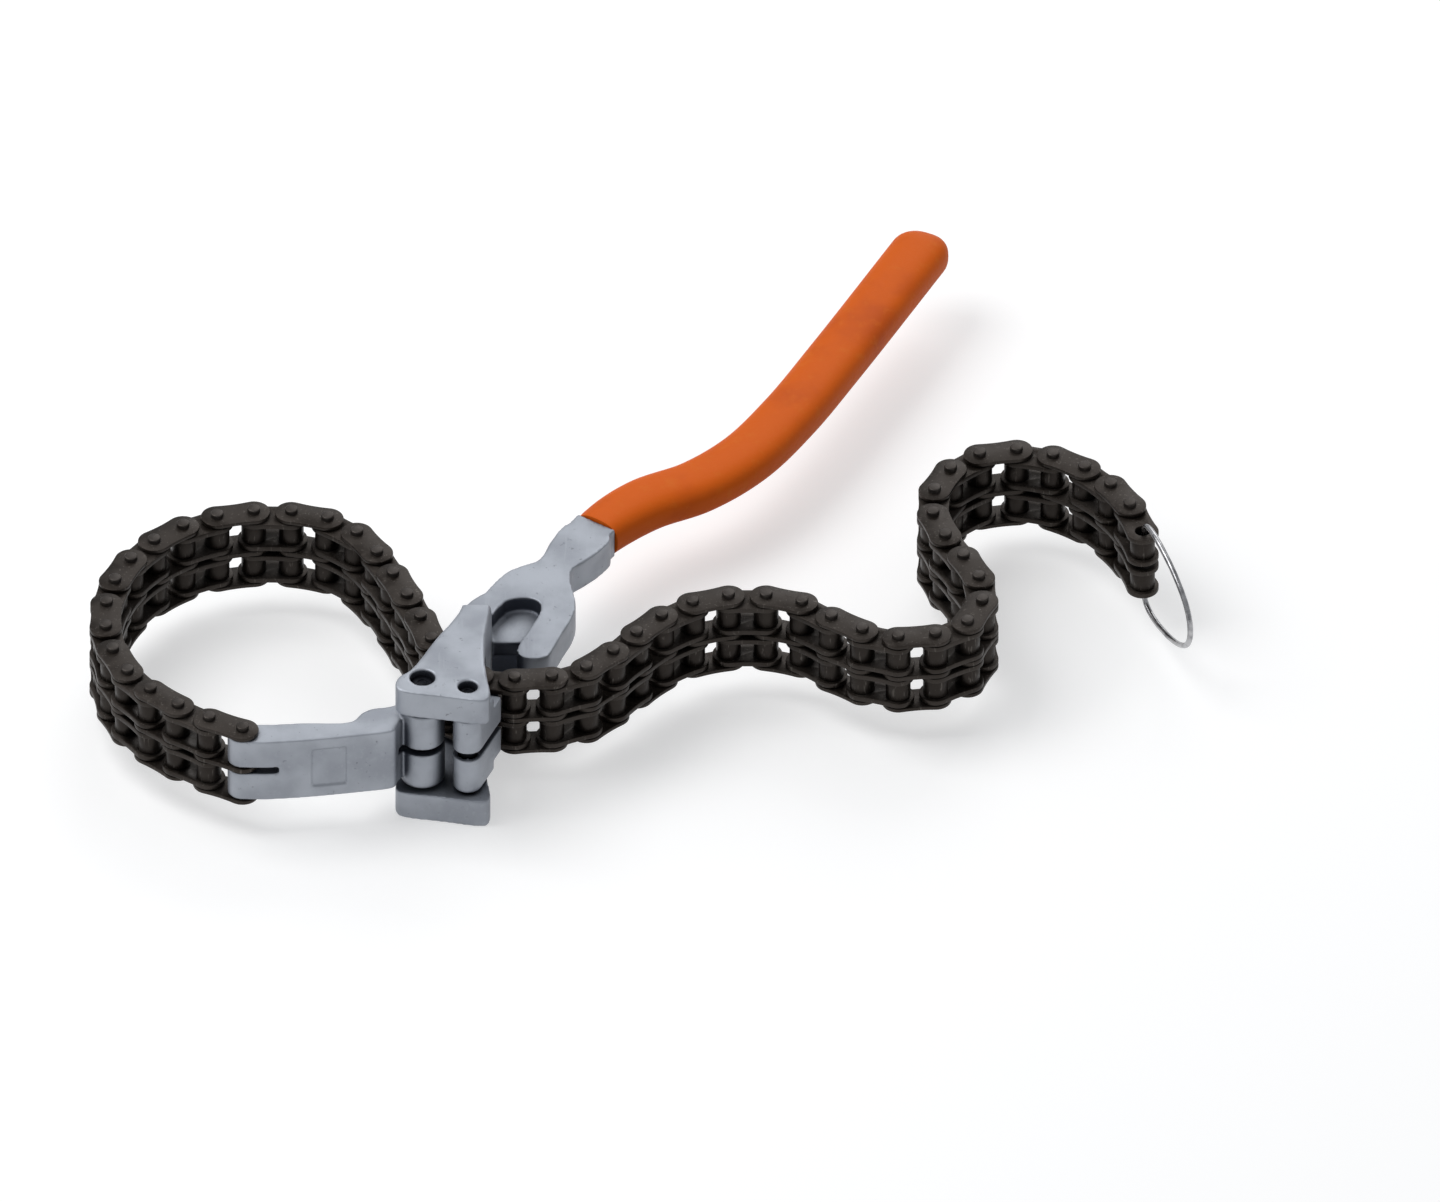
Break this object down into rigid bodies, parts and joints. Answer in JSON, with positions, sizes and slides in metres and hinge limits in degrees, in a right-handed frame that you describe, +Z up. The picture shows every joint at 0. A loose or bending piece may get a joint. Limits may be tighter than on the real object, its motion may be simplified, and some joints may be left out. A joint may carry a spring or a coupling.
{
  "type": "chain filter wrench",
  "caption": "Hand wrench: forged handle with a vinyl grip, a fork with a swinging arm and a claw, and a duplex roller chain that loops round a filter and ends in a wire ring.",
  "frame": {"origin": "middle of the box's underside, on the level of the fork's lower face", "axes": "+Z up, along every hinge axis; +X along the row of the loop, the fork and the tail; +Y from the fork's front towards the handle"},
  "size_m": [0.28, 0.2178, 0.041],
  "materials": {
    "forged_steel": "satin, forged and tumbled",
    "pin_steel": "dark",
    "chain_steel": "dark, oiled",
    "wire": "bright",
    "vinyl": "smooth dipped vinyl, soft sheen"
  },
  "bodies": {
    "handle": {"handle_fork": "forged_steel", "grip": "vinyl", "arm_pin": "pin_steel", "claw_pin": "pin_steel", "inner_link_24": "chain_steel"},
    "arm": {"anchor_arm": "forged_steel"},
    "claw": {"claw": "forged_steel"},
    "link_01": {"outer_link_01": "chain_steel"},
    "link_02": {"inner_link_02": "chain_steel"},
    "link_03": {"outer_link_03": "chain_steel"},
    "link_04": {"inner_link_04": "chain_steel"},
    "link_05": {"outer_link_05": "chain_steel"},
    "link_06": {"inner_link_06": "chain_steel"},
    "link_07": {"outer_link_07": "chain_steel"},
    "link_08": {"inner_link_08": "chain_steel"},
    "link_09": {"outer_link_09": "chain_steel"},
    "link_10": {"inner_link_10": "chain_steel"},
    "link_11": {"outer_link_11": "chain_steel"},
    "link_12": {"inner_link_12": "chain_steel"},
    "link_13": {"outer_link_13": "chain_steel"},
    "link_14": {"inner_link_14": "chain_steel"},
    "link_15": {"outer_link_15": "chain_steel"},
    "link_16": {"inner_link_16": "chain_steel"},
    "link_17": {"outer_link_17": "chain_steel"},
    "link_18": {"inner_link_18": "chain_steel"},
    "link_19": {"outer_link_19": "chain_steel"},
    "link_20": {"inner_link_20": "chain_steel"},
    "link_21": {"outer_link_21": "chain_steel"},
    "link_22": {"inner_link_22": "chain_steel"},
    "link_23": {"outer_link_23": "chain_steel"},
    "link_25": {"outer_link_25": "chain_steel"},
    "link_26": {"inner_link_26": "chain_steel"},
    "link_27": {"outer_link_27": "chain_steel"},
    "link_28": {"inner_link_28": "chain_steel"},
    "link_29": {"outer_link_29": "chain_steel"},
    "link_30": {"inner_link_30": "chain_steel"},
    "link_31": {"outer_link_31": "chain_steel"},
    "link_32": {"inner_link_32": "chain_steel"},
    "link_33": {"outer_link_33": "chain_steel"},
    "link_34": {"inner_link_34": "chain_steel"},
    "link_35": {"outer_link_35": "chain_steel"},
    "link_36": {"inner_link_36": "chain_steel"},
    "link_37": {"outer_link_37": "chain_steel"},
    "link_38": {"inner_link_38": "chain_steel"},
    "link_39": {"outer_link_39": "chain_steel"},
    "link_40": {"inner_link_40": "chain_steel"},
    "link_41": {"outer_link_41": "chain_steel"},
    "link_42": {"inner_link_42": "chain_steel"},
    "link_43": {"outer_link_43": "chain_steel"},
    "link_44": {"inner_link_44": "chain_steel"},
    "link_45": {"outer_link_45": "chain_steel"},
    "link_46": {"inner_link_46": "chain_steel"},
    "link_47": {"outer_link_47": "chain_steel"},
    "link_48": {"inner_link_48": "chain_steel"},
    "link_49": {"outer_link_49": "chain_steel"},
    "link_50": {"inner_link_50": "chain_steel"},
    "link_51": {"outer_link_51": "chain_steel"},
    "link_52": {"inner_link_52": "chain_steel"},
    "ring": {"end_ring": "wire"}
  },
  "joints": [
    {"name": "arm_swing", "type": "hinge", "parent": "handle", "child": "arm", "pos_m": [-0.05549, -0.09607, 0.0205], "axis": [0, 0, 1], "range_deg": [-25, 35]},
    {"name": "claw_release", "type": "hinge", "parent": "handle", "child": "claw", "pos_m": [-0.04399, -0.09977, 0.0205], "axis": [0, 0, 1], "range_deg": [-75, 0]},
    {"name": "pivot_00", "type": "hinge", "parent": "arm", "child": "link_01", "pos_m": [-0.10119, -0.10497, 0.0205], "axis": [0, 0, 1], "range_deg": [-40, 40]},
    {"name": "pivot_01", "type": "hinge", "parent": "link_01", "child": "link_02", "pos_m": [-0.10964, -0.10058, 0.0205], "axis": [0, 0, 1], "range_deg": [-38, 51]},
    {"name": "pivot_02", "type": "hinge", "parent": "link_02", "child": "link_03", "pos_m": [-0.11753, -0.09525, 0.0205], "axis": [0, 0, 1], "range_deg": [-36, 53]},
    {"name": "pivot_03", "type": "hinge", "parent": "link_03", "child": "link_04", "pos_m": [-0.12458, -0.08884, 0.0205], "axis": [0, 0, 1], "range_deg": [-34, 55]},
    {"name": "pivot_04", "type": "hinge", "parent": "link_04", "child": "link_05", "pos_m": [-0.1304, -0.0813, 0.0205], "axis": [0, 0, 1], "range_deg": [-30, 59]},
    {"name": "pivot_05", "type": "hinge", "parent": "link_05", "child": "link_06", "pos_m": [-0.13407, -0.07251, 0.0205], "axis": [0, 0, 1], "range_deg": [-33, 56]},
    {"name": "pivot_06", "type": "hinge", "parent": "link_06", "child": "link_07", "pos_m": [-0.1359, -0.06316, 0.0205], "axis": [0, 0, 1], "range_deg": [-32, 57]},
    {"name": "pivot_07", "type": "hinge", "parent": "link_07", "child": "link_08", "pos_m": [-0.1357, -0.05364, 0.0205], "axis": [0, 0, 1], "range_deg": [-33, 56]},
    {"name": "pivot_08", "type": "hinge", "parent": "link_08", "child": "link_09", "pos_m": [-0.13354, -0.04437, 0.0205], "axis": [0, 0, 1], "range_deg": [-33, 56]},
    {"name": "pivot_09", "type": "hinge", "parent": "link_09", "child": "link_10", "pos_m": [-0.1295, -0.03574, 0.0205], "axis": [0, 0, 1], "range_deg": [-31, 58]},
    {"name": "pivot_10", "type": "hinge", "parent": "link_10", "child": "link_11", "pos_m": [-0.12361, -0.02825, 0.0205], "axis": [0, 0, 1], "range_deg": [-32, 57]},
    {"name": "pivot_11", "type": "hinge", "parent": "link_11", "child": "link_12", "pos_m": [-0.11626, -0.02219, 0.0205], "axis": [0, 0, 1], "range_deg": [-30, 59]},
    {"name": "pivot_23", "type": "hinge", "parent": "handle", "child": "link_23", "pos_m": [-0.04154, -0.08276, 0.0205], "axis": [0, 0, 1], "range_deg": [-17, 72]},
    {"name": "pivot_22", "type": "hinge", "parent": "link_23", "child": "link_22", "pos_m": [-0.04911, -0.07698, 0.0205], "axis": [0, 0, 1], "range_deg": [-17, 72]},
    {"name": "pivot_21", "type": "hinge", "parent": "link_22", "child": "link_21", "pos_m": [-0.05324, -0.0684, 0.0205], "axis": [0, 0, 1], "range_deg": [-36, 53]},
    {"name": "pivot_20", "type": "hinge", "parent": "link_21", "child": "link_20", "pos_m": [-0.056, -0.05928, 0.0205], "axis": [0, 0, 1], "range_deg": [-49, 40]},
    {"name": "pivot_19", "type": "hinge", "parent": "link_20", "child": "link_19", "pos_m": [-0.05941, -0.05039, 0.0205], "axis": [0, 0, 1], "range_deg": [-46, 43]},
    {"name": "pivot_18", "type": "hinge", "parent": "link_19", "child": "link_18", "pos_m": [-0.06299, -0.04156, 0.0205], "axis": [0, 0, 1], "range_deg": [-48, 41]},
    {"name": "pivot_17", "type": "hinge", "parent": "link_18", "child": "link_17", "pos_m": [-0.06706, -0.03295, 0.0205], "axis": [0, 0, 1], "range_deg": [-51, 38]},
    {"name": "pivot_16", "type": "hinge", "parent": "link_17", "child": "link_16", "pos_m": [-0.07214, -0.02489, 0.0205], "axis": [0, 0, 1], "range_deg": [-64, 25]},
    {"name": "pivot_15", "type": "hinge", "parent": "link_16", "child": "link_15", "pos_m": [-0.07961, -0.01898, 0.0205], "axis": [0, 0, 1], "range_deg": [-67, 22]},
    {"name": "pivot_14", "type": "hinge", "parent": "link_15", "child": "link_14", "pos_m": [-0.08879, -0.01645, 0.0205], "axis": [0, 0, 1], "range_deg": [-58, 31]},
    {"name": "pivot_13", "type": "hinge", "parent": "link_14", "child": "link_13", "pos_m": [-0.09831, -0.01621, 0.0205], "axis": [0, 0, 1], "range_deg": [-58, 31]},
    {"name": "pivot_24", "type": "hinge", "parent": "handle", "child": "link_25", "pos_m": [-0.03215, -0.08436, 0.0205], "axis": [0, 0, 1], "range_deg": [-59, 11]},
    {"name": "pivot_25", "type": "hinge", "parent": "link_25", "child": "link_26", "pos_m": [-0.02265, -0.08362, 0.0205], "axis": [0, 0, -1], "range_deg": [-11, 63]},
    {"name": "pivot_26", "type": "hinge", "parent": "link_26", "child": "link_27", "pos_m": [-0.0139, -0.07986, 0.0205], "axis": [0, 0, 1], "range_deg": [-65, 11]},
    {"name": "pivot_27", "type": "hinge", "parent": "link_27", "child": "link_28", "pos_m": [-0.00707, -0.07322, 0.0205], "axis": [0, 0, -1], "range_deg": [-16, 52]},
    {"name": "pivot_28", "type": "hinge", "parent": "link_28", "child": "link_29", "pos_m": [-0.00115, -0.06576, 0.0205], "axis": [0, 0, 1], "range_deg": [-41, 16]},
    {"name": "pivot_29", "type": "hinge", "parent": "link_29", "child": "link_30", "pos_m": [0.00525, -0.0587, 0.0205], "axis": [0, 0, -1], "range_deg": [-16, 31]},
    {"name": "pivot_30", "type": "hinge", "parent": "link_30", "child": "link_31", "pos_m": [0.01307, -0.05328, 0.0205], "axis": [0, 0, 1], "range_deg": [-27, 21]},
    {"name": "pivot_31", "type": "hinge", "parent": "link_31", "child": "link_32", "pos_m": [0.02218, -0.05049, 0.0205], "axis": [0, 0, -1], "range_deg": [-26, 28]},
    {"name": "pivot_32", "type": "hinge", "parent": "link_32", "child": "link_33", "pos_m": [0.03171, -0.05045, 0.0205], "axis": [0, 0, 1], "range_deg": [-27, 26]},
    {"name": "pivot_33", "type": "hinge", "parent": "link_33", "child": "link_34", "pos_m": [0.04082, -0.05322, 0.0205], "axis": [0, 0, -1], "range_deg": [-31, 23]},
    {"name": "pivot_34", "type": "hinge", "parent": "link_34", "child": "link_35", "pos_m": [0.04829, -0.05914, 0.0205], "axis": [0, 0, 1], "range_deg": [-49, 31]},
    {"name": "pivot_35", "type": "hinge", "parent": "link_35", "child": "link_36", "pos_m": [0.05615, -0.06451, 0.0205], "axis": [0, 0, -1], "range_deg": [-28, 61]},
    {"name": "pivot_36", "type": "hinge", "parent": "link_36", "child": "link_37", "pos_m": [0.06523, -0.06738, 0.0205], "axis": [0, 0, 1], "range_deg": [-69, 20]},
    {"name": "pivot_37", "type": "hinge", "parent": "link_37", "child": "link_38", "pos_m": [0.07469, -0.06623, 0.0205], "axis": [0, 0, -1], "range_deg": [-20, 69]},
    {"name": "pivot_38", "type": "hinge", "parent": "link_38", "child": "link_39", "pos_m": [0.08283, -0.06128, 0.0205], "axis": [0, 0, 1], "range_deg": [-76, 9]},
    {"name": "pivot_39", "type": "hinge", "parent": "link_39", "child": "link_40", "pos_m": [0.08658, -0.05253, 0.0205], "axis": [0, 0, -1], "range_deg": [-16, 73]},
    {"name": "pivot_40", "type": "hinge", "parent": "link_40", "child": "link_41", "pos_m": [0.08573, -0.04304, 0.0205], "axis": [0, 0, 1], "range_deg": [-64, 25]},
    {"name": "pivot_41", "type": "hinge", "parent": "link_41", "child": "link_42", "pos_m": [0.0818, -0.03436, 0.0205], "axis": [0, 0, -1], "range_deg": [-40, 49]},
    {"name": "pivot_42", "type": "hinge", "parent": "link_42", "child": "link_43", "pos_m": [0.07719, -0.02602, 0.0205], "axis": [0, 0, 1], "range_deg": [-35, 54]},
    {"name": "pivot_43", "type": "hinge", "parent": "link_43", "child": "link_44", "pos_m": [0.07409, -0.01702, 0.0205], "axis": [0, 0, -1], "range_deg": [-66, 23]},
    {"name": "pivot_44", "type": "hinge", "parent": "link_44", "child": "link_45", "pos_m": [0.07449, -0.0075, 0.0205], "axis": [0, 0, 1], "range_deg": [-22, 67]},
    {"name": "pivot_45", "type": "hinge", "parent": "link_45", "child": "link_46", "pos_m": [0.07855, 0.00111, 0.0205], "axis": [0, 0, -1], "range_deg": [-70, 19]},
    {"name": "pivot_46", "type": "hinge", "parent": "link_46", "child": "link_47", "pos_m": [0.08594, 0.00713, 0.0205], "axis": [0, 0, 1], "range_deg": [-16, 73]},
    {"name": "pivot_47", "type": "hinge", "parent": "link_47", "child": "link_48", "pos_m": [0.09529, 0.00892, 0.0205], "axis": [0, 0, -1], "range_deg": [-69, 20]},
    {"name": "pivot_48", "type": "hinge", "parent": "link_48", "child": "link_49", "pos_m": [0.10454, 0.00663, 0.0205], "axis": [0, 0, 1], "range_deg": [-26, 63]},
    {"name": "pivot_49", "type": "hinge", "parent": "link_49", "child": "link_50", "pos_m": [0.11258, 0.00152, 0.0205], "axis": [0, 0, -1], "range_deg": [-58, 31]},
    {"name": "pivot_50", "type": "hinge", "parent": "link_50", "child": "link_51", "pos_m": [0.11914, -0.00539, 0.0205], "axis": [0, 0, 1], "range_deg": [-32, 57]},
    {"name": "pivot_51", "type": "hinge", "parent": "link_51", "child": "link_52", "pos_m": [0.12407, -0.01354, 0.0205], "axis": [0, 0, -1], "range_deg": [-56, 33]},
    {"name": "ring_swing", "type": "hinge", "parent": "link_52", "child": "ring", "pos_m": [0.12725, -0.02252, 0.0205], "axis": [0, 0, 1], "range_deg": [-110, 110]}
  ],
  "couplings": [
    {"joint": "pivot_00", "follows": "arm_swing", "ratio": -0.2277},
    {"joint": "pivot_01", "follows": "arm_swing", "ratio": -0.2026},
    {"joint": "pivot_02", "follows": "arm_swing", "ratio": -0.1699},
    {"joint": "pivot_03", "follows": "arm_swing", "ratio": -0.1487},
    {"joint": "pivot_04", "follows": "arm_swing", "ratio": -0.1375},
    {"joint": "pivot_05", "follows": "arm_swing", "ratio": -0.1183},
    {"joint": "pivot_06", "follows": "arm_swing", "ratio": -0.1205},
    {"joint": "pivot_07", "follows": "arm_swing", "ratio": 0.1213},
    {"joint": "pivot_08", "follows": "arm_swing", "ratio": 0.2497},
    {"joint": "pivot_09", "follows": "arm_swing", "ratio": 0.348},
    {"joint": "pivot_10", "follows": "arm_swing", "ratio": 0.3039},
    {"joint": "pivot_11", "follows": "arm_swing", "ratio": 0.1613},
    {"joint": "pivot_23", "follows": "arm_swing", "ratio": 0.0796},
    {"joint": "pivot_22", "follows": "arm_swing", "ratio": -0.1546},
    {"joint": "pivot_21", "follows": "arm_swing", "ratio": 0.0894},
    {"joint": "pivot_20", "follows": "arm_swing", "ratio": 0.0925},
    {"joint": "pivot_19", "follows": "arm_swing", "ratio": 0.2159},
    {"joint": "pivot_18", "follows": "arm_swing", "ratio": 0.1713},
    {"joint": "pivot_17", "follows": "arm_swing", "ratio": 0.1417},
    {"joint": "pivot_16", "follows": "arm_swing", "ratio": 0.1343},
    {"joint": "pivot_15", "follows": "arm_swing", "ratio": 0.1308},
    {"joint": "pivot_14", "follows": "arm_swing", "ratio": 0.1103},
    {"joint": "pivot_13", "follows": "arm_swing", "ratio": 0.1139}
  ]
}
